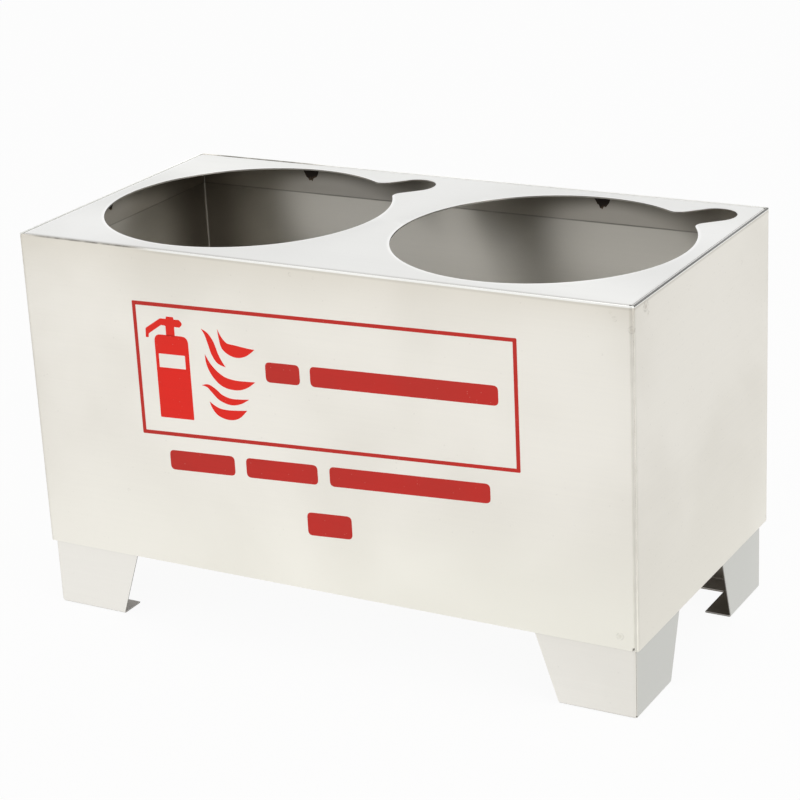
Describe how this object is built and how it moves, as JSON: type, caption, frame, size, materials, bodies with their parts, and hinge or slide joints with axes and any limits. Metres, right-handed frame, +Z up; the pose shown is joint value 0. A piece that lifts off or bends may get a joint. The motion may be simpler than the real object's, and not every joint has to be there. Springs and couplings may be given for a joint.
{
  "type": "fire extinguisher stand",
  "caption": "Low folded steel box on corner feet, with round wells and hose notches in its top plate that hold portable fire extinguishers upright.",
  "frame": {"origin": "on the floor under the middle of the stand", "axes": "+X to the right along the long front, +Y to the back, +Z up"},
  "size_m": [0.4, 0.2, 0.243],
  "materials": {
    "wall_sheet": "fine vertical grain, satin, with faint weld marks",
    "top_sheet": "satin with bright folded edges",
    "base_sheet": "dull satin",
    "leg_sheet": "satin",
    "red_print": "thin flat red print on the front wall",
    "weld_scorch": "dark heat-tinted weld marks"
  },
  "bodies": {
    "root": {"body_shell": "wall_sheet", "top_plate": "top_sheet", "base_plate": "base_sheet", "leg_front_left": "leg_sheet", "leg_front_right": "leg_sheet", "leg_back_right": "leg_sheet", "leg_back_left": "leg_sheet"}
  },
  "joints": []
}
